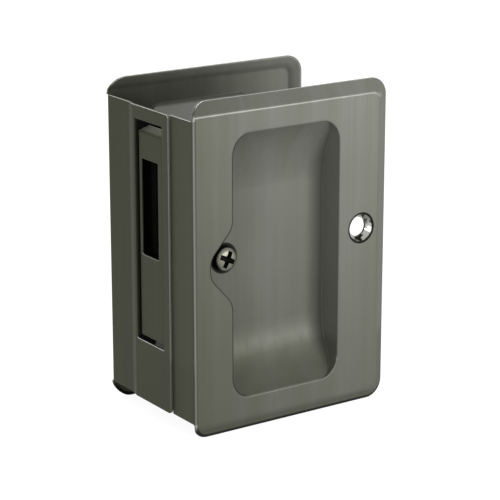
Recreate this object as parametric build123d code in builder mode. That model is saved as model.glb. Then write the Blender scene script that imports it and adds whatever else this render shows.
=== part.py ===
from build123d import *
import os
from math import acos, degrees, hypot

# Receiver half of an adjustable pocket door lock, in millimetres.
# X runs from the door edge into the door, Y from the front face to the rear face, Z is up.
# The origin is at the middle of the foot of the bounding box.

# Door and the two stamped plates
door_thickness = 34.925
adjust_travel = 9.525
plate_height = 82.55
plate_width = 57.15
plate_corner = 4.5
sheet = 0.6
rim_edge = 0.4
face_raise = 2.1
border_width = 3.2
face_corner = 2.0
fold_radius = 1.4
edge_fold = 1.0

# Edge flanges: the rear one steps outward and lies over the front one
flange_height = 74.0
rear_strip = 8.6
joggle_run = 2.4
joggle_radius = 1.2
front_strip = 7.85
slide_gap = 0.05
leaf_corner = 1.0
tab_lap = 5.5
tab_drop = 1.2

# Window in the edge leaf
window_margin = 2.7
window_width = 12.4
window_height = 55.3
window_rise = 6.05
window_corner = 0.4

# Cup pull pressed into each plate
cup_start = 10.9
cup_width = 31.1
cup_height = 65.6
cup_corner = 5.5
cup_depth = 6.8
scoop_run = 15.6
bump_reach = 6.3
bump_base = 18.6
bump_tip = 4.6
bump_round = 5.0
clamp_rise = 1.0

# Countersunk wood screw hole, one in each plate, staggered about mid-height
hole_edge = 8.3
hole_stagger = 4.4
hole_radius = 2.4
hole_mouth = 3.55
hole_sink = 1.6

# Clamp screw and its threaded post
screw_radius = 1.75
screw_head_radius = 3.25
screw_head_height = 2.0
screw_engagement = 6.5
cross_width = 1.0
cross_span = 3.9
cross_depth = 1.5
cross_turn = -20.0
head_round = 1.2
tip_chamfer = 0.5
clamp_from_edge = 12.7
post_radius = 3.0
post_start = 2.4
post_spigot = 2.2
post_head = 0.5
staked_bevel = 0.4
thread_gap = 0.05
fit_gap = 0.05

# Receiver case with its strike, behind the window
case_sheet = 0.8
case_depth = 17.0
case_foot = 0.75
case_below = 1.9
case_short = 0.6
pocket_bottom = -5.0
pocket_top = 27.0
stop_drop = 2.9
strike_thickness = 1.5
strike_setback = 3.9
strike_bottom = -4.0
strike_top = 29.0
notch_gap = 0.5

# Edge pull that swings out of the window
pull_side_gap = 0.6
pull_top_gap = 2.2
pull_bottom_gap = 1.2
pull_recess = 0.6
pull_sheet = 0.5
pull_wall = 2.2
pull_round = 0.7
lip_depth = 3.2
lip_rise = 0.9
cheek_gap = 0.3
slot_width = 7.6
slot_height = 24.0
slot_rise = 12.2
slot_shift = 0.5
slot_corner = 0.5
pin_radius = 1.5
pin_setback = 3.5
pin_lift = 3.0
pin_head = 2.1
pin_head_height = 0.5
ear_radius = 2.6

# Return spring on the pull's pin
wire_radius = 0.25
spring_clear = 0.1
spring_turns = 2.5
spring_pitch = 0.9
wire_side_count = 6
tail_leg = 2.7
case_leg = 4.4

# Places worked out from the sizes above
leaf_step = sheet + slide_gap
edge_x = leaf_step - (plate_width + leaf_step) / 2
far_x = edge_x + plate_width
mid_z = plate_height / 2
door_y = door_thickness / 2
face_y = door_y + face_raise
skin_y = face_y - sheet / 2
flange_x = edge_x + sheet / 2
floor_y = face_y - cup_depth
joggle_y = door_y - rear_strip
leaf_end_y = front_strip - door_y
leaf_inner_x = edge_x - slide_gap
leaf_outer_x = edge_x - leaf_step
flange_bottom = mid_z - flange_height / 2
window_front_y = leaf_end_y + window_margin
window_rear_y = window_front_y + window_width
window_z = mid_z + window_rise
clamp_x = edge_x + clamp_from_edge
clamp_z = mid_z + clamp_rise
hole_x = far_x - hole_edge

pull_front_y = window_front_y + pull_side_gap
pull_rear_y = window_rear_y - pull_side_gap
pull_mid_y = (pull_front_y + pull_rear_y) / 2
pull_face_x = leaf_outer_x + pull_recess
pull_bottom = window_z - window_height / 2 + pull_bottom_gap
pull_top = window_z + window_height / 2 - pull_top_gap
pin_x = pull_face_x + pin_setback
pin_z = pull_bottom + pin_lift
slot_y = pull_mid_y + slot_shift
slot_z = mid_z + slot_rise

coil_radius = pin_setback - pull_sheet - spring_clear - wire_radius
cheek_front_y = pull_front_y - cheek_gap
cheek_rear_y = pull_rear_y + cheek_gap
case_front_y = cheek_front_y - case_sheet
case_rear_y = cheek_rear_y + case_sheet
case_bottom = window_z - window_height / 2 - case_below
case_top = window_z + window_height / 2 - case_short
throat_x = pin_x + coil_radius + wire_radius + spring_clear
strike_x = pull_face_x + strike_setback

post_front_y = sheet + post_start - floor_y
screw_tip_y = post_front_y + screw_engagement + adjust_travel

front_plane = Plane.XZ.offset(door_y)


def hole_height(side):
    """Height of the wood screw hole: above the middle in front (-1), below it behind (1)."""
    return mid_z - side * hole_stagger


def plate_outline(past_fold, inset, corner):
    """Rounded outline of the plate: run on past the fold, moved in by inset on the other sides."""
    width = plate_width + past_fold - inset
    with Locations((edge_x - past_fold + width / 2, mid_z)):
        RectangleRounded(width, plate_height - 2 * inset, corner)


def cup_outline(grow):
    """Mouth of the cup with the bump that holds the clamp screw, grown all round."""
    cup_x = edge_x + cup_start
    tip_x = cup_x - bump_reach
    with BuildSketch() as outline:
        with Locations((cup_x + cup_width / 2, mid_z)):
            RectangleRounded(cup_width, cup_height, cup_corner)
        with BuildLine():
            Polyline(
                (cup_x + cup_corner, clamp_z - bump_base / 2),
                (cup_x, clamp_z - bump_base / 2),
                (tip_x, clamp_z - bump_tip / 2),
                (tip_x, clamp_z + bump_tip / 2),
                (cup_x, clamp_z + bump_base / 2),
                (cup_x + cup_corner, clamp_z + bump_base / 2),
                close=True,
            )
        make_face()
        bump_corners = outline.vertices().filter_by_position(Axis.Y, clamp_z - bump_base, clamp_z + bump_base)
        fillet(bump_corners, bump_round)
        if grow > 0:
            offset(amount=grow, kind=Kind.ARC)
    return outline.sketch


def cup_solid(grow):
    """The cup's hollow, or with grow its outside: straight sides, floor scooped up at both ends."""
    scoop_radius = (scoop_run**2 + cup_depth**2) / (2 * cup_depth)
    flat = cup_height / 2 - scoop_run
    centre_y = -floor_y - scoop_radius
    radius = scoop_radius + grow
    mouth_y = -face_y
    arc_end = degrees(acos((mouth_y - centre_y) / radius))
    with BuildPart() as cup:
        with BuildSketch(Plane.XZ.offset(floor_y - grow)):
            add(cup_outline(grow))
        extrude(amount=cup_depth + grow)
        with BuildSketch(Plane.YZ.offset(edge_x - plate_width)):
            with BuildLine():
                upper = CenterArc((centre_y, mid_z + flat), radius, 0, arc_end)
                lower = CenterArc((centre_y, mid_z - flat), radius, -arc_end, arc_end)
                Line(lower @ 1, upper @ 0)
                Line(upper @ 1, lower @ 0)
            make_face()
        extrude(amount=3 * plate_width, mode=Mode.INTERSECT)
    return cup.part


def dimple(side, grow):
    """Countersink pressed through a plate, as a hollow, or with grow as its outside."""
    inner_end = side * (door_y - (0 if grow else sheet))
    with BuildPart() as cone:
        with BuildSketch(Plane.XY.offset(hole_height(side))):
            with BuildLine():
                Polyline(
                    (hole_x, side * face_y),
                    (hole_x + hole_mouth + grow, side * face_y),
                    (hole_x + hole_radius + grow, side * (face_y - hole_sink)),
                    (hole_x + hole_radius + grow, inner_end),
                    (hole_x, inner_end),
                    close=True,
                )
            make_face()
        revolve(axis=Axis((hole_x, 0, hole_height(side)), (0, 1, 0)))
    return cone.part


slope = (face_raise - rim_edge) / border_width
drop = sheet * hypot(1, slope)
inner_foot = (drop - rim_edge) / slope
inner_crest = (face_raise - sheet - rim_edge + drop) / slope

past_fold = 2 * plate_corner

with BuildPart() as plate_hollow:
    with BuildSketch(front_plane):
        plate_outline(past_fold, inner_foot, plate_corner - inner_foot)
    with BuildSketch(front_plane.offset(face_raise - sheet)):
        plate_outline(past_fold, inner_crest, face_corner)
    loft()
    crest_edges = faces().sort_by(Axis.Y)[0].edges()
    fillet(crest_edges, fold_radius - sheet)

with BuildPart() as stamped_plate:
    with BuildSketch(front_plane):
        plate_outline(past_fold, 0, plate_corner)
    extrude(amount=rim_edge)
    with BuildSketch(front_plane.offset(rim_edge)):
        plate_outline(past_fold, 0, plate_corner)
    with BuildSketch(front_plane.offset(face_raise)):
        plate_outline(past_fold, border_width, face_corner)
    loft()
    face_edges = faces().sort_by(Axis.Y)[0].edges()
    fillet(face_edges, fold_radius)
    with BuildSketch(front_plane):
        plate_outline(0, 0, plate_corner)
    extrude(amount=face_raise, mode=Mode.INTERSECT)
    add(plate_hollow.part, mode=Mode.SUBTRACT)
    with BuildSketch(front_plane.offset(face_raise)):
        with Locations((edge_x, flange_bottom)):
            Rectangle(edge_fold, flange_height, align=Align.MIN)
    extrude(amount=-face_raise, mode=Mode.SUBTRACT)
    add(cup_solid(sheet))
    add(cup_solid(0), mode=Mode.SUBTRACT)

with BuildPart() as front_shell:
    add(stamped_plate.part)
    add(dimple(-1, sheet))
    add(dimple(-1, 0), mode=Mode.SUBTRACT)
    tab_end_y = leaf_end_y + adjust_travel + tab_lap
    with BuildSketch(Plane.XY.offset(flange_bottom)):
        with BuildLine():
            FilletPolyline(
                (edge_x + 2 * edge_fold, -skin_y),
                (flange_x, -skin_y),
                (flange_x, tab_end_y),
                radius=edge_fold - sheet / 2,
            )
        trace(line_width=sheet)
    extrude(amount=flange_height)
    with BuildSketch(Plane.YZ.offset(edge_x)):
        with Locations((case_front_y - case_foot - notch_gap, case_bottom - notch_gap)):
            Rectangle(plate_width, case_top - case_bottom + 2 * notch_gap, align=Align.MIN)
        with Locations((leaf_end_y + slide_gap, flange_bottom + flange_height - tab_drop)):
            Rectangle(plate_width, tab_drop, align=Align.MIN)
        with Locations((leaf_end_y + slide_gap, flange_bottom)):
            Rectangle(plate_width, tab_drop, align=Align.MIN)
    extrude(amount=sheet, mode=Mode.SUBTRACT)
    with BuildSketch(Plane.XZ.offset(floor_y - 2 * sheet)):
        with Locations((clamp_x, clamp_z)):
            Circle(screw_radius + fit_gap)
    extrude(amount=3 * sheet, mode=Mode.SUBTRACT)
front_shell.part.label = "front_shell"

with BuildPart() as rear_shell:
    add(mirror(stamped_plate.part, about=Plane.XZ))
    add(dimple(1, sheet))
    add(dimple(1, 0), mode=Mode.SUBTRACT)
    leaf_x = flange_x - leaf_step
    with BuildSketch(Plane.XY.offset(flange_bottom)):
        with BuildLine():
            FilletPolyline(
                (edge_x + 2 * edge_fold, skin_y),
                (flange_x, skin_y),
                (flange_x, joggle_y),
                (leaf_x, joggle_y - joggle_run),
                (leaf_x, leaf_end_y),
                radius=[edge_fold - sheet / 2, joggle_radius, joggle_radius],
            )
        trace(line_width=sheet)
    extrude(amount=flange_height)
    leaf_corners = edges().filter_by(Axis.X).group_by(Axis.Y)[0]
    fillet(leaf_corners, leaf_corner)
    with BuildSketch(Plane.YZ.offset(leaf_outer_x)):
        with Locations(((window_front_y + window_rear_y) / 2, window_z)):
            RectangleRounded(window_width, window_height, window_corner)
    extrude(amount=sheet, mode=Mode.SUBTRACT)
    with BuildSketch(Plane.XZ.offset(sheet - floor_y - 2 * sheet)):
        with Locations((clamp_x, clamp_z)):
            Circle(post_spigot + fit_gap)
    extrude(amount=3 * sheet, mode=Mode.SUBTRACT)
rear_shell.part.label = "rear_shell"

with BuildPart() as clamp_screw:
    with BuildSketch(Plane.XZ.offset(floor_y)):
        with Locations((clamp_x, clamp_z)):
            Circle(screw_head_radius)
    extrude(amount=screw_head_height)
    crown = edges().filter_by(GeomType.CIRCLE).sort_by(Axis.Y)[0]
    fillet(crown, head_round)
    with BuildSketch(Plane.XZ.offset(floor_y)):
        with Locations((clamp_x, clamp_z)):
            Circle(screw_radius)
    extrude(amount=-(floor_y + screw_tip_y))
    tip = edges().filter_by(GeomType.CIRCLE).sort_by(Axis.Y)[-1]
    chamfer(tip, tip_chamfer)
    with BuildSketch(Plane.XZ.offset(floor_y + screw_head_height)):
        with Locations(Location((clamp_x, clamp_z), cross_turn)):
            Rectangle(cross_span, cross_width)
            Rectangle(cross_width, cross_span)
    extrude(amount=-cross_depth, mode=Mode.SUBTRACT)
clamp_screw.part.label = "clamp_screw"

with BuildPart() as clamp_post:
    with BuildSketch(Plane.XZ.offset(-post_front_y)):
        with Locations((clamp_x, clamp_z)):
            Circle(post_radius)
    extrude(amount=-(floor_y - sheet - post_front_y))
    with BuildSketch(Plane.XZ.offset(sheet - floor_y)):
        with Locations((clamp_x, clamp_z)):
            Circle(post_spigot)
    extrude(amount=-sheet)
    with BuildSketch(Plane.XZ.offset(-floor_y)):
        with Locations((clamp_x, clamp_z)):
            Circle(post_radius)
    extrude(amount=-post_head)
    staked_rim = edges().filter_by(GeomType.CIRCLE).sort_by(Axis.Y)[-1]
    chamfer(staked_rim, staked_bevel)
    with BuildSketch(Plane.XZ.offset(-post_front_y)):
        with Locations((clamp_x, clamp_z)):
            Circle(screw_radius + thread_gap)
    extrude(amount=-(screw_tip_y - post_front_y + sheet), mode=Mode.SUBTRACT)
clamp_post.part.label = "clamp_post"

with BuildPart() as receiver_case:
    back_x = edge_x + case_depth
    pocket_low = mid_z + pocket_bottom
    pocket_high = mid_z + pocket_top
    wall_x = throat_x + case_sheet
    with BuildSketch(Plane.XZ.offset(-case_rear_y)):
        with BuildLine():
            Polyline(
                (leaf_inner_x, case_bottom),
                (wall_x, case_bottom),
                (wall_x, pocket_low - (back_x - wall_x) / 2),
                (back_x, pocket_low),
                (back_x, pocket_high),
                (wall_x, case_top),
                (leaf_inner_x, case_top),
                close=True,
            )
        make_face()
    extrude(amount=case_rear_y - case_front_y)
    with BuildSketch(Plane.XZ.offset(-cheek_rear_y)):
        with Locations((leaf_inner_x, case_bottom)):
            Rectangle(throat_x - leaf_inner_x, plate_height, align=Align.MIN)
        with Locations((leaf_inner_x, pin_z - stop_drop)):
            Rectangle(back_x - case_sheet - leaf_inner_x, plate_height, align=Align.MIN)
    extrude(amount=cheek_rear_y - cheek_front_y, mode=Mode.SUBTRACT)
    with BuildSketch(Plane.YZ.offset(leaf_inner_x)):
        with Locations((case_front_y - case_foot, case_bottom)):
            Rectangle(case_foot, case_top - case_bottom, align=Align.MIN)
    extrude(amount=case_sheet)
    with BuildSketch(Plane.XZ.offset(-case_rear_y)):
        with Locations((clamp_x, clamp_z)):
            Circle(post_radius + fit_gap)
        with Locations((pin_x, pin_z)):
            Circle(pin_radius + fit_gap)
    extrude(amount=case_rear_y - case_front_y, mode=Mode.SUBTRACT)
receiver_case.part.label = "receiver_case"

with BuildPart() as strike_plate:
    with BuildSketch(Plane.YZ.offset(strike_x)):
        with Locations((cheek_front_y, mid_z + strike_bottom)):
            Rectangle(cheek_rear_y - cheek_front_y, strike_top - strike_bottom, align=Align.MIN)
        with Locations((slot_y, slot_z)):
            RectangleRounded(slot_width, slot_height, slot_corner, mode=Mode.SUBTRACT)
    extrude(amount=strike_thickness)
strike_plate.part.label = "strike_plate"

with BuildPart() as edge_pull:
    lip_slope = lip_rise / lip_depth
    lip_x = pull_face_x + lip_depth
    wall_back_x = pull_face_x + pull_wall
    shoulder_z = pull_top - lip_rise - lip_depth
    with BuildSketch(Plane.XZ.offset(-pull_rear_y)):
        with BuildLine():
            Polyline(
                (pull_face_x, pull_bottom),
                (pull_face_x, pull_top - lip_rise),
                (lip_x, pull_top),
                (lip_x, pull_top - lip_rise),
                (wall_back_x, shoulder_z),
                (wall_back_x, pin_z + 3 * ear_radius),
                (pin_x, pin_z + ear_radius),
                (pin_x, pin_z - ear_radius),
                (pull_face_x + pull_sheet, pull_bottom),
                close=True,
            )
        make_face()
        with Locations((pin_x, pin_z)):
            Circle(ear_radius)
    extrude(amount=pull_rear_y - pull_front_y)
    web_edges = faces().filter_by(Axis.X).sort_by(Axis.X)[0].edges()
    fillet(web_edges.sort_by(Axis.Z)[1:], pull_round)
    inner_lip = pull_top - lip_rise - pull_sheet * hypot(1, lip_slope)
    with BuildSketch(Plane.XZ.offset(pull_sheet - pull_rear_y)):
        with BuildLine():
            Polyline(
                (pull_face_x + pull_sheet, pull_bottom - ear_radius),
                (pull_face_x + pull_sheet, inner_lip + lip_slope * pull_sheet),
                (far_x, inner_lip + lip_slope * (far_x - pull_face_x)),
                (far_x, pull_bottom - ear_radius),
                close=True,
            )
        make_face()
    extrude(amount=pull_rear_y - pull_front_y - 2 * pull_sheet, mode=Mode.SUBTRACT)
    with BuildSketch(Plane.YZ.offset(pull_face_x)):
        with Locations((slot_y, slot_z)):
            RectangleRounded(slot_width, slot_height, slot_corner)
    extrude(amount=pull_sheet, mode=Mode.SUBTRACT)
    with BuildSketch(Plane.XZ.offset(-pull_rear_y)):
        with Locations((pin_x, pin_z)):
            Circle(pin_radius + fit_gap)
    extrude(amount=pull_rear_y - pull_front_y, mode=Mode.SUBTRACT)
edge_pull.part.label = "edge_pull"

with BuildPart() as pull_pin:
    with BuildSketch(Plane.XZ.offset(-case_rear_y)):
        with Locations((pin_x, pin_z)):
            Circle(pin_radius)
    extrude(amount=case_rear_y - case_front_y)
    for head_y in (case_rear_y + pin_head_height, case_front_y):
        with BuildSketch(Plane.XZ.offset(-head_y)):
            with Locations((pin_x, pin_z)):
                Circle(pin_head)
        extrude(amount=pin_head_height)
pull_pin.part.label = "pull_pin"

coil_start = Plane(
    (pin_x, pull_mid_y - spring_turns * spring_pitch / 2, pin_z), x_dir=(-1, 0, 0), z_dir=(0, 1, 0)
)
coil = coil_start.location * Helix(spring_pitch, spring_turns * spring_pitch, coil_radius)

with BuildPart() as pull_spring:
    with BuildSketch(Plane(coil @ 0, z_dir=coil % 0)):
        RegularPolygon(wire_radius, wire_side_count)
    sweep(path=coil)
    for wire_end, leg in ((coil @ 0, tail_leg), (coil @ 1, case_leg)):
        with BuildSketch(Plane(wire_end, z_dir=(0, 0, -1))):
            RegularPolygon(wire_radius, wire_side_count)
        extrude(amount=leg)
pull_spring.part.label = "pull_spring"

os.makedirs("parts", exist_ok=True)
pieces = (
    front_shell,
    rear_shell,
    clamp_screw,
    clamp_post,
    receiver_case,
    strike_plate,
    edge_pull,
    pull_pin,
    pull_spring,
)
for piece in pieces:
    export_step(piece.part, f"parts/{piece.part.label}.step")
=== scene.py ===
import math

import bmesh
import bpy
from mathutils import Matrix, Vector


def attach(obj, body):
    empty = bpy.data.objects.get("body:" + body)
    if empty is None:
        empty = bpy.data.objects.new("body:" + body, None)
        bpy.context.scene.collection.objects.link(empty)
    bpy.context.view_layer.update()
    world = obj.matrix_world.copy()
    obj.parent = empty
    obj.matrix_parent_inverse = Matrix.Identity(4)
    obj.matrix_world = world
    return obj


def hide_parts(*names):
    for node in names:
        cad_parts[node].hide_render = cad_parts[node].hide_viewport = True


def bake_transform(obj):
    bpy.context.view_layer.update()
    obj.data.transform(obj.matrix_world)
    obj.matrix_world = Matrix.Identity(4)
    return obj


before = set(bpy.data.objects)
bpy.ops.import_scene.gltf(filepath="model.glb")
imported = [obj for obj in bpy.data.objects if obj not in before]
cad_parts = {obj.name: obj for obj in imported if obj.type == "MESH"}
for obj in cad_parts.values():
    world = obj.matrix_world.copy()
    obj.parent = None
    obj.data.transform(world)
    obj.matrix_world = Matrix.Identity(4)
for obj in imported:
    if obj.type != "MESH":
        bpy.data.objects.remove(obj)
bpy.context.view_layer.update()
scene = bpy.context.scene
scene.view_settings.view_transform = "Standard"

# Colours, linear
NICKEL = (0.226, 0.229, 0.210)
NICKEL_OLIVE = (0.202, 0.206, 0.172)
NICKEL_DARK = (0.066, 0.069, 0.043)
# Bright hairlines, and the colour of painted highlights
NICKEL_HAIRS_AND_HIGHLIGHT = (0.900, 0.900, 0.870)
# Painted shade
PAINTED_SHADE = (0.012, 0.012, 0.010)
# Painted reflection in the countersink
PAINTED_REFLECTION_LIGHT = (0.420, 0.420, 0.390)
SCREW = (0.170, 0.172, 0.135)
SCREW_DARK = (0.14, 0.14, 0.12)
BRASS = (0.190, 0.175, 0.130)
BRASS_DARK = (0.09, 0.08, 0.06)
STEEL = (0.330, 0.330, 0.310)
STEEL_DARK = (0.18, 0.18, 0.17)
WIRE = (0.240, 0.240, 0.250)
WIRE_DARK = (0.12, 0.12, 0.13)
BLACK = (0.004, 0.004, 0.004)
BLACK_CLOUDY = (0.007, 0.007, 0.006)
BLACK_RUBBED = (0.02, 0.02, 0.018)
WHITE = (1.0, 1.0, 1.0)
FLOOR_GREY = (0.40, 0.40, 0.40)

# Places and sizes taken from the solids, in metres
FOLD_X = -0.02825
FAR_X = 0.0289
FACE_Y = 0.0195625
PLATE_MIDDLE = (0.000325, 0.0, 0.041275)
PLATE_CORES = (0.024075, 1.0, 0.036775)
PLATE_CORNER = 0.0045
FRONT_HOLE = (0.0206, 0.045675)
REAR_HOLE = (0.0206, 0.036875)
HOLE_MOUTH = 0.00355
POST_RADIUS = 0.003
PULL_FACE_X = -0.0283
LEAF_END_Y = -0.0096125
TAB_END_Y = 0.0054125
CUP_X = -0.00495
CUP_Z = 0.041275
CLAMP_X = -0.01555
CLAMP_Z = 0.042275
HEAD_Y = -0.0127625
SCREW_TIP_Y = 0.0062625
PIN = Vector((-0.0248, -0.0007125, 0.023875))

# Clamp screw; a recess level is a height over the seat, an arm's reach and its half width
HEAD_RADIUS = 0.00325
HEAD_HEIGHT = 0.002
HEAD_RIM = 0.00045
HEAD_CHAMFER = 0.00012
CROWN_FLAT = 0.0002
DOME_STEPS = 17
DOME_RISE = 0.9
DOME_SPREAD = 0.72
SCREW_SIDES = 72
CREASE_ANGLE = math.radians(32.0)
THREAD_PITCH = 0.0008
THREAD_CREST = 0.00174
THREAD_DEPTH = 0.00038
THREAD_FLANK = 1.25
THREAD_STEPS = 10
TIP_CHAMFER = 0.0005
CROSS_TURN = math.radians(25.0)
CROSS_CORNER = 1.35
RECESS_LEVELS = (
    (-0.0024, 0.00235, 0.00066),
    (-0.0018, 0.0022, 0.0006),
    (-0.0009, 0.0017, 0.00045),
    (-0.0003, 0.0008, 0.00035),
)

# Spring on the pull's pin
SPRING_RADIUS = 0.00265
SPRING_TURNS = 2.5
SPRING_LENGTH = 0.00225
SPRING_STEPS = 120
WIRE_RADIUS = 0.00025
WIRE_FACETS = 4
PULL_LEG = 0.0027
CASE_LEG = 0.0044

# Plating
SATIN = 0.40
PLATED = 0.25
PLATED_SPECULAR = 0.03
POLISH = 0.26
SHELL_GRAIN = 2600.0
SHELL_CREVICE = 0.0007
PULL_GRAIN = 3200.0
PULL_CREVICE = 0.002
HAIR_DEPTH = 0.000003
EDGE_ROUND = 0.0003
MOUTH_ROUND = 0.0006

# Where the marks on the plating start and end, in metres
# Painted shade, growing towards the door edge and darkest on the flange
SHADE_PLATE = (0.010, 0.056)
SHADE_FLANGE = (0.0562, 0.0568)
SHADE_STEP = (0.0573, 0.0576)
# Painted shade, darker towards the bottom
SHADE_BELOW = (0.005, 0.075)
RAISED_FACE = (0.0186, 0.0190)
INSIDE_FACE = (0.0180, 0.0186)
BEND_FACE = (0.0188, 0.0192)
FREE_EDGE = (0.0184, 0.0187)
CUP_WIDE = (0.0195, 0.0200)
CUP_HIGH = (0.0335, 0.0340)
FOLD_LINE = (0.0003, 0.0006)
END_LINE = (0.0001, 0.0002)
# Painted shade along the plate's lower edge
SHADE_OUTLINE = (PLATE_CORNER - 0.00095, PLATE_CORNER - 0.00075)
SHADE_OUTLINE_HIGH = (0.0022, 0.0040)
# Painted shade in the lower scoop
SCOOP_SHADE_HIGH = (0.0165, 0.0195)
SCOOP_SHADE_DEEP = (0.0191, 0.0194)
# Painted shadow ring round the clamp screw's head, and round the post on the rear shell
RING_ROUND_SCREW = (0.0005, 0.0007)
COUNTERSINK = (HOLE_MOUTH - 0.0002, HOLE_MOUTH - 0.0001)
# Painted shade ring round the countersink
HOLE_SHADE_RING = (HOLE_MOUTH + 0.0003, HOLE_MOUTH + 0.0005)
# Painted shade on the screw's rim
SCREW_RIM = (HEAD_RADIUS - 0.00046, HEAD_RADIUS - 0.00026)
BEHIND_PULL = (0.00043, 0.00048)
PULL_NECK = (0.0682, 0.0686)

# Parts of a direction between which such a mark starts and ends
LOOKS_UP = (0.2, 0.5)
BEND_STARTS = (0.04, 0.10)
BEND_ENDS = (0.18, 0.30)
LIP_TURNS = (0.05, 0.30)
LOOKS_IN = (0.5, 0.2)
SHARP = (0.90, 0.995)

# Axes that a distance is measured along
ORIGIN = (0.0, 0.0, 0.0)
ALL_AXES = (1.0, 1.0, 1.0)
X_ONLY = (1.0, 0.0, 0.0)
Y_ONLY = (0.0, 1.0, 0.0)
Z_ONLY = (0.0, 0.0, 1.0)
FROM_Z_LINE = (1.0, 1.0, 0.0)
FROM_Y_LINE = (1.0, 0.0, 1.0)

# Studio
MIDDLE = Vector((0.0, 0.0, 0.041))
FLOOR_RADIUS = 4.0
FLOOR_SIDES = 96
FLOOR_GLOW = 0.88
SKY_LIGHT = 0.45
CAMERA_PLACE = (-0.26673, -0.39163, 0.17608)
CAMERA_AZIMUTH = math.radians(-34.342)
CAMERA_ELEVATION = math.radians(16.169)
CAMERA_LENS = 142.45
CAMERA_SENSOR = 36.0
CAMERA_NEAR = 0.01
CAMERA_FAR = 20.0


class Nodes:
    """Short way to add and join the shader nodes of one material or world."""

    def __init__(self, owner, output="ShaderNodeOutputMaterial"):
        owner.use_nodes = True
        self.owner = owner
        self.tree = owner.node_tree
        self.tree.nodes.clear()
        self.output = self.add(output)

    def add(self, kind, **settings):
        node = self.tree.nodes.new(kind)
        for key, value in settings.items():
            setattr(node, key, value)
        return node

    def join(self, source, target):
        self.tree.links.new(source, target)

    def place(self, scale):
        """Object coordinates stretched by scale."""
        coords = self.add("ShaderNodeTexCoord")
        mapping = self.add("ShaderNodeMapping")
        mapping.inputs["Scale"].default_value = scale
        self.join(coords.outputs["Object"], mapping.inputs["Vector"])
        return mapping.outputs["Vector"]

    def noise(self, scale, detail=3.0, rough=0.55):
        node = self.add("ShaderNodeTexNoise")
        node.inputs["Scale"].default_value = 1.0
        node.inputs["Detail"].default_value = detail
        node.inputs["Roughness"].default_value = rough
        self.join(self.place(scale), node.inputs["Vector"])
        return node.outputs["Fac"]

    def span(self, source, low, high, start=0.3, end=0.7):
        """Source from start to end, as low to high."""
        node = self.add("ShaderNodeMapRange")
        node.inputs["From Min"].default_value = start
        node.inputs["From Max"].default_value = end
        node.inputs["To Min"].default_value = low
        node.inputs["To Max"].default_value = high
        self.join(source, node.inputs["Value"])
        return node.outputs["Result"]

    def mix(self, factor, first, second):
        node = self.add("ShaderNodeMix", data_type="RGBA")
        self.join(factor, node.inputs[0])
        for value, socket in ((first, node.inputs[6]), (second, node.inputs[7])):
            if isinstance(value, tuple):
                socket.default_value = (*value, 1.0)
            else:
                self.join(value, socket)
        return node.outputs[2]

    def math(self, operation, first, second):
        """Sum, product or other result, held between 0 and 1."""
        node = self.add("ShaderNodeMath", operation=operation, use_clamp=True)
        for value, socket in ((first, node.inputs[0]), (second, node.inputs[1])):
            if isinstance(value, float):
                socket.default_value = value
            else:
                self.join(value, socket)
        return node.outputs[0]

    def times(self, mask, *others):
        """Product of masks."""
        for other in others:
            mask = self.math("MULTIPLY", mask, other)
        return mask

    def most(self, mask, *others):
        """Largest of masks."""
        for other in others:
            mask = self.math("MAXIMUM", mask, other)
        return mask

    def vector(self, operation, first, second=None):
        """Vector operation of a socket with a constant or another socket."""
        node = self.add("ShaderNodeVectorMath", operation=operation)
        self.join(first, node.inputs[0])
        if isinstance(second, tuple):
            node.inputs[1].default_value = second
        elif second is not None:
            self.join(second, node.inputs[1])
        return node.outputs

    def rounded(self, radius):
        """Normal that goes round the edges."""
        bevel = self.add("ShaderNodeBevel", samples=8)
        bevel.inputs["Radius"].default_value = radius
        return bevel.outputs["Normal"]

    def sharp(self, rounded):
        """Mask that is 1 on sharp edges, where the rounded normal leaves the surface's own."""
        shape = self.add("ShaderNodeNewGeometry")
        dot = self.vector("DOT_PRODUCT", rounded, shape.outputs["Normal"])
        return self.span(dot["Value"], 1.0, 0.0, *SHARP)

    def crevice(self, reach, start, end):
        """Mask that is 1 where the surface is closed in within reach."""
        node = self.add("ShaderNodeAmbientOcclusion", samples=12)
        node.inputs["Distance"].default_value = reach
        return self.span(node.outputs["AO"], 1.0, 0.0, start, end)

    def distance(self, axes, centre):
        """Distance from centre, measured along the axes whose scale is 1."""
        return self.vector("DISTANCE", self.place(axes), centre)["Value"]

    def outside(self, middle, half):
        """Distance outside a box, which rises evenly towards an outline with round corners."""
        reach = self.vector("SUBTRACT", self.place(ALL_AXES), middle)["Vector"]
        reach = self.vector("ABSOLUTE", reach)["Vector"]
        reach = self.vector("SUBTRACT", reach, half)["Vector"]
        reach = self.vector("MAXIMUM", reach, ORIGIN)["Vector"]
        return self.vector("LENGTH", reach)["Value"]

    def along(self, normal, axis):
        """How far a normal points along an axis."""
        parts = self.add("ShaderNodeSeparateXYZ")
        self.join(normal, parts.inputs[0])
        return parts.outputs[axis]

    def inward(self, side):
        """Mask that is 1 on faces that look at the door from a shell on this side of it."""
        shape = self.add("ShaderNodeNewGeometry")
        facing = self.along(shape.outputs["Normal"], "Y")
        return self.span(facing, 1.0, 0.0, *(-side * part for part in LOOKS_IN))

    def between(self, factor, first, second):
        """Normal that goes from the first to the second."""
        node = self.add("ShaderNodeMix", data_type="VECTOR")
        for source, socket in ((factor, 0), (first, 4), (second, 5)):
            self.join(source, node.inputs[socket])
        return node.outputs[1]

    def bump(self, height, distance, normal):
        node = self.add("ShaderNodeBump")
        node.inputs["Strength"].default_value = 1.0
        node.inputs["Distance"].default_value = distance
        self.join(height, node.inputs["Height"])
        self.join(normal, node.inputs["Normal"])
        return node.outputs["Normal"]

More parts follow.
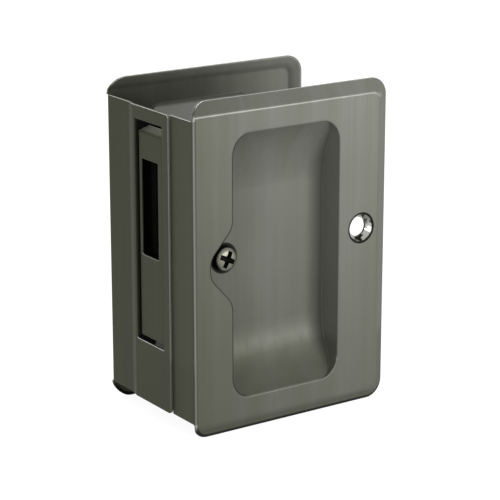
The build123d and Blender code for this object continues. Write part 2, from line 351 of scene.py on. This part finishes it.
    def surface(self, colour, rough, normal, metallic, specular=0.5):
        shader = self.add("ShaderNodeBsdfPrincipled")
        if isinstance(metallic, float):
            shader.inputs["Metallic"].default_value = metallic
        else:
            self.join(metallic, shader.inputs["Metallic"])
        shader.inputs["Specular IOR Level"].default_value = specular
        self.join(colour, shader.inputs["Base Color"])
        self.join(rough, shader.inputs["Roughness"])
        self.join(normal, shader.inputs["Normal"])
        self.join(shader.outputs[0], self.output.inputs["Surface"])
        return self.owner

    def seen(self):
        """Mask that is 1 for rays from the camera, off gloss and through glass."""
        path = self.add("ShaderNodeLightPath")
        mask = self.math("ADD", path.outputs["Is Camera Ray"], path.outputs["Is Glossy Ray"])
        return self.math("ADD", mask, path.outputs["Is Transmission Ray"])


class Plating(Nodes):
    """Satin plating: upright brushing and soft bands, with painted shade towards the bottom, towards the
    door edge and in crevices.
    """

    def __init__(self, name, grain, crevice, flange_shade):
        super().__init__(bpy.data.materials.new(name))
        bands = self.noise((110.0, 110.0, 2.0), 2.0)
        streaks = self.noise((grain * 0.2, grain * 0.2, 4.0), 3.0)
        hairs = self.noise((grain, grain, 18.0), 4.0, 0.7)
        clouds = self.noise((60.0, 60.0, 35.0), 3.0)
        self.depth = self.distance(Y_ONLY, ORIGIN)
        self.height = self.distance(Z_ONLY, ORIGIN)

        self.tone = self.mix(self.span(bands, 0.0, 1.0, 0.38, 0.62), NICKEL, NICKEL_OLIVE)
        self.paint(self.span(streaks, 0.0, 0.12), NICKEL_DARK)
        self.paint(self.span(hairs, 0.0, 0.03), NICKEL_HAIRS_AND_HIGHLIGHT)
        self.paint(self.span(clouds, 0.0, 0.14), NICKEL_DARK)
        # Painted shade: darker towards the bottom
        self.paint(self.span(self.height, 0.32, 0.0, *SHADE_BELOW), NICKEL_DARK)
        # Painted shade towards the door edge, darkest on the flange
        self.paint(self.door_edge_shade(flange_shade), NICKEL_DARK)
        # Painted shade in crevices, from ambient occlusion
        self.paint(self.crevice(crevice, 0.15, 0.55), PAINTED_SHADE)

        rough = self.span(hairs, SATIN - 0.06, SATIN + 0.06)
        self.gloss = self.math("ADD", rough, self.span(streaks, 0.0, 0.06))

        rounded = self.rounded(EDGE_ROUND)
        lip = self.rounded(MOUTH_ROUND)
        raised = self.span(self.depth, 0.0, 1.0, *RAISED_FACE)
        self.normal = self.bump(hairs, HAIR_DEPTH, self.between(raised, rounded, lip))
        self.rim = self.times(self.sharp(rounded), self.span(clouds, 0.7, 1.0))
        self.tilt = self.along(rounded, "Z")
        self.brink = self.times(raised, self.span(self.along(lip, "X"), 0.0, 0.9, *LIP_TURNS))

    def door_edge_shade(self, flange_shade):
        """Painted shade: mask that grows towards the door edge and jumps at the flange to the flange's
        shade.
        """
        from_far = self.distance(X_ONLY, (FAR_X, 0.0, 0.0))
        plate = self.span(from_far, 0.0, 0.50, *SHADE_PLATE)
        flange = self.span(from_far, 0.0, flange_shade - 0.50, *SHADE_FLANGE)
        step = self.span(from_far, 0.0, 0.05, *SHADE_STEP)
        return self.math("SUBTRACT", self.math("ADD", plate, flange), step)

    def paint(self, mask, colour):
        self.tone = self.mix(mask, self.tone, colour)

    def finish(self, metallic):
        return self.surface(self.tone, self.gloss, self.normal, metallic, PLATED_SPECULAR)


def shell_metal(name, hole, side, screw_rim, flange_end, flange_shade):
    """Plating of a shell: painted highlights on free edges, painted shade lines in the cup, polished
    countersink.
    """
    plate = Plating(name, SHELL_GRAIN, SHELL_CREVICE, flange_shade)
    wide = plate.distance(X_ONLY, (CUP_X, 0.0, 0.0))
    high = plate.distance(Z_ONLY, (0.0, 0.0, CUP_Z))
    from_cup = plate.most(
        plate.span(wide, 0.0, 1.0, *CUP_WIDE),
        plate.span(high, 0.0, 1.0, *CUP_HIGH),
    )
    in_cup = plate.span(from_cup, 1.0, 0.0, 0.0, 1.0)

    # Inside, towards the door: painted shade behind the face and painted light on the cup's back
    inner = plate.inward(side)
    inside_shade = plate.times(inner, plate.span(plate.depth, 0.0, 0.38, *INSIDE_FACE))
    plate.paint(inside_shade, NICKEL_DARK)
    bulge_light = plate.times(inner, plate.span(plate.depth, 0.20, 0.0, *INSIDE_FACE), in_cup)
    plate.paint(bulge_light, NICKEL_HAIRS_AND_HIGHLIGHT)

    # Painted highlights: free edges that look up, the fold at the door edge, the bend over the face, the
    # flange's end
    free = plate.times(from_cup, plate.span(plate.depth, 1.0, 0.0, *FREE_EDGE))
    edge = plate.times(plate.rim, free, plate.span(plate.tilt, 0.0, 1.0, *LOOKS_UP))
    from_fold = plate.distance(FROM_Z_LINE, (FOLD_X, side * FACE_Y, 0.0))
    fold = plate.span(from_fold, 0.30, 0.0, *FOLD_LINE)
    bend = plate.times(
        plate.span(plate.tilt, 0.0, 1.0, *BEND_STARTS),
        plate.span(plate.tilt, 1.0, 0.0, *BEND_ENDS),
        plate.span(plate.depth, 0.0, 0.16, *BEND_FACE),
    )
    painted_highlight = plate.most(edge, fold, bend)
    plate.paint(painted_highlight, NICKEL_HAIRS_AND_HIGHLIGHT)
    # Painted highlight along the flange's end
    from_end = plate.distance(Y_ONLY, (0.0, flange_end, 0.0))
    plate.paint(plate.span(from_end, 0.25, 0.0, *END_LINE), NICKEL_HAIRS_AND_HIGHLIGHT)

    # Painted shade: the lower scoop, the plate's lower edge, the cup's mouth and a ring round the screw
    scoop_shade = plate.times(
        plate.span(plate.height, 0.42, 0.0, *SCOOP_SHADE_HIGH),
        plate.span(plate.depth, 1.0, 0.0, *SCOOP_SHADE_DEEP),
    )
    plate.paint(scoop_shade, NICKEL_DARK)
    outline_shade = plate.times(
        plate.span(plate.outside(PLATE_MIDDLE, PLATE_CORES), 0.0, 1.0, *SHADE_OUTLINE),
        plate.span(plate.height, 1.0, 0.0, *SHADE_OUTLINE_HIGH),
    )
    plate.paint(plate.most(outline_shade, plate.times(plate.brink, in_cup)), PAINTED_SHADE)
    from_screw = plate.distance(FROM_Y_LINE, (CLAMP_X, 0.0, CLAMP_Z))
    # Painted shadow ring round the clamp screw's head, and round the post on the rear shell
    ring = plate.span(from_screw, 0.95, 0.0, *(screw_rim + width for width in RING_ROUND_SCREW))
    plate.paint(ring, PAINTED_SHADE)

    # Countersink: polished metal with painted reflections as light and dark streaks, inside a ring of
    # painted shade
    from_hole = plate.distance(FROM_Y_LINE, (hole[0], 0.0, hole[1]))
    plate.paint(plate.span(from_hole, 1.0, 0.0, *HOLE_SHADE_RING), PAINTED_SHADE)
    marks = plate.noise((500.0, 500.0, 700.0), 1.0)
    # Painted reflection: light and dark streaks
    cut = plate.mix(plate.span(marks, 0.0, 0.95, 0.47, 0.57), PAINTED_REFLECTION_LIGHT, PAINTED_SHADE)
    polished = plate.span(from_hole, 1.0, 0.0, *COUNTERSINK)
    plate.paint(polished, cut)

    polish_and_highlight = plate.most(polished, painted_highlight)
    plate.gloss = plate.math("SUBTRACT", plate.gloss, plate.math("MULTIPLY", polish_and_highlight, POLISH))
    return plate.finish(plate.span(polish_and_highlight, PLATED, 1.0, 0.0, 1.0))


def pull_metal(name):
    """Plating of the edge pull: painted highlights on the edges in front, painted shade in black behind
    its face below the lip.
    """
    plate = Plating(name, PULL_GRAIN, PULL_CREVICE, 0.96)
    # Painted highlights on edges that look up
    plate.paint(plate.times(plate.rim, plate.span(plate.tilt, 0.1, 0.6, *LOOKS_UP)), NICKEL_HAIRS_AND_HIGHLIGHT)
    from_face = plate.distance(X_ONLY, (PULL_FACE_X, 0.0, 0.0))
    behind = plate.span(from_face, 0.0, 1.0, *BEHIND_PULL)
    below = plate.span(plate.height, 1.0, 0.0, *PULL_NECK)
    # Painted shade: black behind the face below the lip
    plate.paint(plate.times(behind, below), BLACK)
    return plate.finish(PLATED)


def turned_metal(name, colour, dark, rough, scale, rim_shade=False):
    """Small turned or drawn pieces: fine rings, darker spots, lighter edges, painted shade in crevices
    and on a screw's rim.
    """
    nodes = Nodes(bpy.data.materials.new(name))
    rings = nodes.noise((scale * 0.2, scale, scale * 0.2), 3.0, 0.6)
    spots = nodes.noise((400.0, 400.0, 400.0), 3.0)
    rounded = nodes.rounded(0.0001)
    tone = nodes.mix(nodes.span(spots, 0.0, 0.6), colour, dark)
    light = tuple(min(1.0, 1.6 * value) for value in colour)
    tone = nodes.mix(nodes.math("MULTIPLY", nodes.sharp(rounded), 0.5), tone, light)
    # Painted shade in crevices, from ambient occlusion
    tone = nodes.mix(nodes.crevice(0.001, 0.25, 0.6), tone, PAINTED_SHADE)
    # Painted shade on the screw's rim
    if rim_shade:
        reach = nodes.distance(FROM_Y_LINE, (CLAMP_X, 0.0, CLAMP_Z))
        tone = nodes.mix(nodes.span(reach, 0.0, 1.0, *SCREW_RIM), tone, PAINTED_SHADE)
    gloss = nodes.span(rings, rough - 0.07, rough + 0.07)
    normal = nodes.bump(rings, 0.000006, rounded)
    return nodes.surface(tone, gloss, normal, 1.0)


def black_metal(name):
    """Black oxide on steel: nearly black, with a faint cloudy sheen and edges worn lighter."""
    nodes = Nodes(bpy.data.materials.new(name))
    clouds = nodes.noise((250.0, 250.0, 250.0), 4.0)
    grain = nodes.noise((2500.0, 2500.0, 2500.0), 2.0)
    rounded = nodes.rounded(0.0002)
    tone = nodes.mix(nodes.span(clouds, 0.0, 1.0), BLACK, BLACK_CLOUDY)
    tone = nodes.mix(nodes.math("MULTIPLY", nodes.sharp(rounded), 0.4), tone, BLACK_RUBBED)
    gloss = nodes.span(grain, 0.5, 0.68)
    normal = nodes.bump(grain, 0.000008, rounded)
    return nodes.surface(tone, gloss, normal, 0.0, 0.08)


def floor_white():
    """Floor that is seen white and keeps the object's shadow."""
    nodes = Nodes(bpy.data.materials.new("floor_white"))
    diffuse = nodes.add("ShaderNodeBsdfDiffuse")
    diffuse.inputs["Color"].default_value = (*FLOOR_GREY, 1.0)
    glow = nodes.add("ShaderNodeEmission")
    nodes.join(nodes.math("MULTIPLY", nodes.seen(), FLOOR_GLOW), glow.inputs["Strength"])
    both = nodes.add("ShaderNodeAddShader")
    nodes.join(diffuse.outputs[0], both.inputs[0])
    nodes.join(glow.outputs[0], both.inputs[1])
    nodes.join(both.outputs[0], nodes.output.inputs["Surface"])
    return nodes.owner


def studio_world():
    """World that is white where it is seen and dimmer as a light."""
    nodes = Nodes(bpy.data.worlds.new("studio"), "ShaderNodeOutputWorld")
    sky = nodes.add("ShaderNodeBackground")
    sky.inputs["Color"].default_value = (*WHITE, 1.0)
    nodes.join(nodes.span(nodes.seen(), SKY_LIGHT, 1.0, 0.0, 1.0), sky.inputs["Strength"])
    nodes.join(sky.outputs[0], nodes.output.inputs["Surface"])
    return nodes.owner


front_metal = shell_metal("front_shell_metal", FRONT_HOLE, -1.0, HEAD_RADIUS, TAB_END_Y, 0.86)
rear_metal = shell_metal("rear_shell_metal", REAR_HOLE, 1.0, POST_RADIUS, LEAF_END_Y, 1.0)
edge_metal = pull_metal("edge_pull_metal")
screw_metal = turned_metal("screw_metal", SCREW, SCREW_DARK, 0.36, 5000.0, rim_shade=True)
post_metal = turned_metal("post_metal", BRASS, BRASS_DARK, 0.38, 4000.0)
pin_metal = turned_metal("pin_metal", STEEL, STEEL_DARK, 0.32, 5000.0)
wire_metal = turned_metal("wire_metal", WIRE, WIRE_DARK, 0.35, 6000.0)
case_metal = black_metal("case_metal")

for node, metal in (
    ("front_shell", front_metal),
    ("rear_shell", rear_metal),
    ("edge_pull", edge_metal),
    ("clamp_screw", screw_metal),
    ("clamp_post", post_metal),
    ("receiver_case", case_metal),
    ("strike_plate", case_metal),
    ("pull_pin", pin_metal),
    ("pull_spring", wire_metal),
):
    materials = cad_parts[node].data.materials
    if len(materials) == 0:
        materials.append(metal)
    for index in range(len(materials)):
        materials[index] = metal


def link(name, mesh, metal):
    """New object in the scene from a finished mesh."""
    mesh.name = name
    mesh.materials.append(metal)
    piece = bpy.data.objects.new(name, mesh)
    scene.collection.objects.link(piece)
    return piece


def mesh_of(builder, name):
    """Mesh of what was built, with its faces turned outward."""
    bmesh.ops.recalc_face_normals(builder, faces=builder.faces)
    mesh = bpy.data.meshes.new(name)
    builder.to_mesh(mesh)
    builder.free()
    return mesh


def lathe(builder, profile, steps):
    """Rings of vertices round the Y axis, one for each (y, radius at an angle), joined by quads."""
    rings = []
    for y, radius in profile:
        ring = []
        for step in range(steps):
            angle = 2.0 * math.pi * step / steps
            reach = radius(angle) if callable(radius) else radius
            ring.append(builder.verts.new((reach * math.cos(angle), y, reach * math.sin(angle))))
        rings.append(ring)
    for lower, upper in zip(rings, rings[1:]):
        for step in range(steps):
            after = (step + 1) % steps
            builder.faces.new((lower[step], lower[after], upper[after], upper[step]))
    builder.faces.new(rings[0])
    builder.faces.new(rings[-1])


def screw_profile():
    """Clamp screw from its chamfered tip to its domed crown, with the head's seat at y = 0."""
    length = SCREW_TIP_Y - HEAD_Y
    steps = int(length / THREAD_PITCH * THREAD_STEPS)
    profile = []
    for step in range(steps):
        y = length * (1.0 - step / steps)
        limit = min(THREAD_CREST, THREAD_CREST - TIP_CHAMFER + (length - y))

        def reach(angle, y=y, limit=limit):
            phase = (y / THREAD_PITCH - angle / (2.0 * math.pi)) % 1.0
            tooth = min(1.0, THREAD_FLANK * abs(2.0 * phase - 1.0))
            return min(limit, THREAD_CREST - THREAD_DEPTH * tooth)

        profile.append((y, reach))
    profile += [
        (0.0, THREAD_CREST),
        (0.0, HEAD_RADIUS - HEAD_CHAMFER),
        (-HEAD_CHAMFER, HEAD_RADIUS),
        (-HEAD_RIM, HEAD_RADIUS),
    ]
    for step in range(1, DOME_STEPS):
        angle = 0.5 * math.pi * step / DOME_STEPS
        rise = (HEAD_HEIGHT - HEAD_RIM) * math.sin(angle) ** DOME_RISE
        profile.append((-HEAD_RIM - rise, HEAD_RADIUS * math.cos(angle) ** DOME_SPREAD))
    profile.append((-HEAD_HEIGHT, CROWN_FLAT))
    return profile


def cross_cutter():
    """Tapered cross, wide at the crown and narrow at the bottom of the recess."""
    cutter = bmesh.new()
    rings = []
    for y, span, half in RECESS_LEVELS:
        corner = half * CROSS_CORNER
        ring = []
        for quarter in range(4):
            turn = Matrix.Rotation(0.5 * math.pi * quarter + CROSS_TURN, 3, "Y")
            for x, z in ((span, -half), (span, half), (corner, half), (half, corner)):
                ring.append(cutter.verts.new(turn @ Vector((x, y, -z))))
        rings.append(ring)
    count = len(rings[0])
    for lower, upper in zip(rings, rings[1:]):
        for step in range(count):
            after = (step + 1) % count
            cutter.faces.new((lower[step], lower[after], upper[after], upper[step]))
    cutter.faces.new(rings[0])
    cutter.faces.new(rings[-1])
    return mesh_of(cutter, "cutter")


def cross_screw():
    """Clamp screw in one mesh: threaded shank and domed head, with the recess cut out of it."""
    turned = bmesh.new()
    lathe(turned, screw_profile(), SCREW_SIDES)
    blank = link("blank", mesh_of(turned, "blank"), screw_metal)
    cutter = link("cutter", cross_cutter(), screw_metal)
    # The recess's faces take the black case metal: painted shade inside the cross
    for piece in (blank, cutter):
        piece.data.materials.append(case_metal)
    for face in cutter.data.polygons:
        face.material_index = 1
    cut = blank.modifiers.new("recess", "BOOLEAN")
    cut.operation = "DIFFERENCE"
    cut.solver = "EXACT"
    cut.object = cutter
    graph = bpy.context.evaluated_depsgraph_get()
    whole = bmesh.new()
    whole.from_mesh(bpy.data.meshes.new_from_object(blank.evaluated_get(graph)))
    for done in (blank, cutter):
        bpy.data.objects.remove(done)
    bmesh.ops.translate(whole, verts=whole.verts, vec=(CLAMP_X, HEAD_Y, CLAMP_Z))
    for face in whole.faces:
        face.smooth = True
    for edge in whole.edges:
        if len(edge.link_faces) == 2 and edge.calc_face_angle() > CREASE_ANGLE:
            edge.smooth = False
    piece = link("cross_screw", mesh_of(whole, "cross_screw"), screw_metal)
    # Black case metal for the recess's faces: painted shade inside the cross
    piece.data.materials.append(case_metal)
    return piece


def round_spring():
    """Torsion spring of round wire: two and a half turns round the pin and two straight legs."""
    front_y = PIN.y - SPRING_LENGTH / 2.0
    points = [Vector((PIN.x - SPRING_RADIUS, front_y, PIN.z - PULL_LEG))]
    for step in range(SPRING_STEPS + 1):
        share = step / SPRING_STEPS
        angle = 2.0 * math.pi * SPRING_TURNS * share
        arm = Vector((-math.cos(angle), 0.0, math.sin(angle))) * SPRING_RADIUS
        points.append(PIN + arm + Vector((0.0, SPRING_LENGTH * (share - 0.5), 0.0)))
    points.append(points[-1] - Vector((0.0, 0.0, CASE_LEG)))
    wire = bpy.data.curves.new("spring_wire", "CURVE")
    wire.dimensions = "3D"
    wire.bevel_depth = WIRE_RADIUS
    wire.bevel_resolution = WIRE_FACETS
    wire.use_fill_caps = True
    spline = wire.splines.new("POLY")
    spline.points.add(len(points) - 1)
    for point, place in zip(spline.points, points):
        point.co = (*place, 1.0)
    swept = bpy.data.objects.new("spring_wire", wire)
    builder = bmesh.new()
    mesh = bpy.data.meshes.new_from_object(swept)
    builder.from_mesh(mesh)
    bpy.data.objects.remove(swept)
    bmesh.ops.remove_doubles(builder, verts=builder.verts, dist=WIRE_RADIUS * 0.01)
    for face in builder.faces:
        face.smooth = len(face.verts) == 4
    return link("round_spring", mesh_of(builder, "round_spring"), wire_metal)


screw = cross_screw()
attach(screw, "front")
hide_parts("clamp_screw")

spring = round_spring()
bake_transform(spring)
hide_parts("pull_spring")


floor_builder = bmesh.new()
bmesh.ops.create_circle(floor_builder, cap_ends=True, segments=FLOOR_SIDES, radius=FLOOR_RADIUS)
floor = link("floor", mesh_of(floor_builder, "floor"), floor_white())

scene.world = studio_world()


def softbox(name, direction, distance, width, height, watts):
    """Area light that faces the object."""
    data = bpy.data.lights.new(name, "AREA")
    data.shape = "RECTANGLE"
    data.size = width
    data.size_y = height
    data.energy = watts
    lamp = bpy.data.objects.new(name, data)
    scene.collection.objects.link(lamp)
    lamp.location = MIDDLE + Vector(direction).normalized() * distance
    lamp.rotation_euler = (MIDDLE - lamp.location).to_track_quat("-Z", "Y").to_euler()


softbox("key", (0.36, -0.92, 0.06), distance=0.50, width=0.32, height=0.12, watts=1.15)
softbox("top", (0.1, 0.25, 1.0), distance=0.8, width=0.4, height=0.4, watts=1.2)
softbox("fill", (-0.85, -0.45, 0.12), distance=0.8, width=0.10, height=0.5, watts=1.9)

# Camera at the photograph's angle
back = Vector(
    (
        math.sin(CAMERA_AZIMUTH) * math.cos(CAMERA_ELEVATION),
        -math.cos(CAMERA_AZIMUTH) * math.cos(CAMERA_ELEVATION),
        math.sin(CAMERA_ELEVATION),
    )
)
lens = bpy.data.cameras.new("camera")
lens.sensor_width = CAMERA_SENSOR
lens.sensor_fit = "HORIZONTAL"
lens.lens = CAMERA_LENS
lens.clip_start = CAMERA_NEAR
lens.clip_end = CAMERA_FAR
camera = bpy.data.objects.new("camera", lens)
scene.collection.objects.link(camera)
camera.location = CAMERA_PLACE
camera.rotation_euler = back.to_track_quat("Z", "Y").to_euler()
scene.camera = camera
